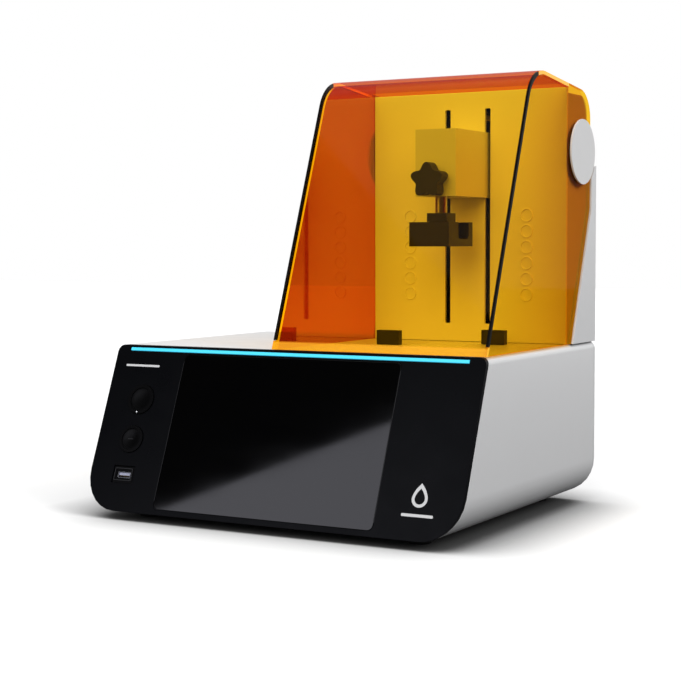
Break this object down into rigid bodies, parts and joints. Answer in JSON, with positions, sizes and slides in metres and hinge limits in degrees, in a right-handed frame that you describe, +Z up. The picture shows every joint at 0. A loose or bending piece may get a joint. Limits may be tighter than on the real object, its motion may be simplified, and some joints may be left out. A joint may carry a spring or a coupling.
{
  "type": "resin printer",
  "caption": "Desktop light-cured resin printer with a leaning touch panel, an amber tilting hood, a Z carriage with build platform and a projector under the deck.",
  "frame": {"origin": "bottom centre of the bounding box, on the surface the feet stand on", "axes": "+Z up, +X to the right seen from the front, -Y towards the user"},
  "size_m": [0.3408, 0.2786, 0.3592],
  "materials": {
    "white_shell": "satin",
    "white_arm": "satin",
    "white_cap": "satin",
    "dark_cover": "matte",
    "foot_rubber": "matte",
    "panel_black": "satin",
    "screen_glass": "gloss",
    "dark_plastic": "matte",
    "cyan_light": "satin",
    "button_black": "satin",
    "window_glass": "gloss",
    "aluminium": "satin",
    "steel": "satin",
    "motor_steel": "satin",
    "brass": "satin",
    "anodised_black": "satin",
    "amber_acrylic": "gloss",
    "seam_black": "satin",
    "board_green": "matte"
  },
  "bodies": {
    "base": {"base_shell": "white_shell", "rear_panel": "white_shell", "bottom_cover": "dark_cover", "foot_front_left": "foot_rubber", "foot_front_right": "foot_rubber", "foot_rear_left": "foot_rubber", "foot_rear_right": "foot_rubber", "front_panel": "panel_black", "touchscreen_glass": "screen_glass", "display_module": "dark_plastic", "light_strip": "cyan_light", "power_button_bezel": "button_black", "menu_button_bezel": "button_black", "usb_port": "dark_plastic", "projection_window": "window_glass", "back_plate": "white_shell", "column_side_left": "white_shell", "column_side_right": "white_shell", "column_rear_cover": "white_shell", "column_head": "white_shell", "column_spine": "aluminium", "linear_rail": "steel", "top_bearing": "dark_plastic", "stepper_motor": "motor_steel", "vat_stop_left": "dark_plastic", "vat_stop_right": "dark_plastic", "light_engine": "dark_plastic", "projection_lens": "anodised_black", "heat_sink": "aluminium", "engine_fan_frame": "dark_plastic", "exhaust_fan_frame": "dark_plastic", "power_inlet": "dark_plastic", "network_port": "steel", "power_supply": "aluminium", "main_board": "board_green"},
    "hood": {"hood_front_sheet": "amber_acrylic", "hood_cheek_left": "amber_acrylic", "hood_cheek_right": "amber_acrylic", "hood_seam_left": "seam_black", "hood_seam_right": "seam_black", "hinge_cap_left": "white_cap", "hinge_cap_right": "white_cap", "hinge_pin_left": "steel", "hinge_pin_right": "steel"},
    "carriage": {"rail_carriage": "steel", "carriage_plate": "aluminium", "lead_nut": "brass", "arm_bracket": "white_arm"},
    "screw": {"lead_screw": "steel", "shaft_coupler": "aluminium"},
    "platform": {"platform_stem": "aluminium", "platform_neck": "anodised_black", "build_platform": "anodised_black"},
    "knob": {"clamp_knob": "dark_plastic"},
    "power_button": {"power_button": "button_black"},
    "menu_button": {"menu_button": "button_black"},
    "rocker": {"rocker_switch": "button_black"},
    "exhaust_rotor": {"exhaust_fan_rotor": "dark_plastic"},
    "engine_rotor": {"engine_fan_rotor": "dark_plastic"}
  },
  "joints": [
    {"name": "hood_hinge", "type": "hinge", "parent": "base", "child": "hood", "pos_m": [0, 0.1036, 0.2993], "axis": [1, 0, 0], "range_deg": [-65, 0]},
    {"name": "z_travel", "type": "slide", "parent": "base", "child": "carriage", "axis": [0, 0, 1], "range_m": [-0.08, 0.018]},
    {"name": "screw_spin", "type": "hinge", "parent": "base", "child": "screw", "pos_m": [0.0746, 0.0931, 0.2], "axis": [0, 0, 1], "continuous": true},
    {"name": "platform_release", "type": "slide", "parent": "carriage", "child": "platform", "axis": [0, 0, -1], "range_m": [0, 0.03]},
    {"name": "knob_turn", "type": "hinge", "parent": "carriage", "child": "knob", "pos_m": [0.0746, 0, 0.2745], "axis": [0, -1, 0], "range_deg": [0, 720]},
    {"name": "power_press", "type": "slide", "parent": "base", "child": "power_button", "axis": [0, 0.9291, -0.3697], "range_m": [0, 0.0025], "stiffness_N_per_m": 500},
    {"name": "menu_press", "type": "slide", "parent": "base", "child": "menu_button", "axis": [0, 0.9291, -0.3697], "range_m": [0, 0.0025], "stiffness_N_per_m": 500},
    {"name": "rocker_tilt", "type": "hinge", "parent": "base", "child": "rocker", "pos_m": [-0.0404, 0.1326, 0.07], "axis": [-1, 0, 0], "range_deg": [0, 16]},
    {"name": "exhaust_spin", "type": "hinge", "parent": "base", "child": "exhaust_rotor", "pos_m": [-0.1054, 0.125, 0.077], "axis": [0, 1, 0], "continuous": true},
    {"name": "engine_fan_spin", "type": "hinge", "parent": "base", "child": "engine_rotor", "pos_m": [0.145, 0.0281, 0.064], "axis": [1, 0, 0], "continuous": true}
  ],
  "couplings": [
    {"joint": "screw_spin", "follows": "z_travel", "rad_per_m": -785.4}
  ]
}
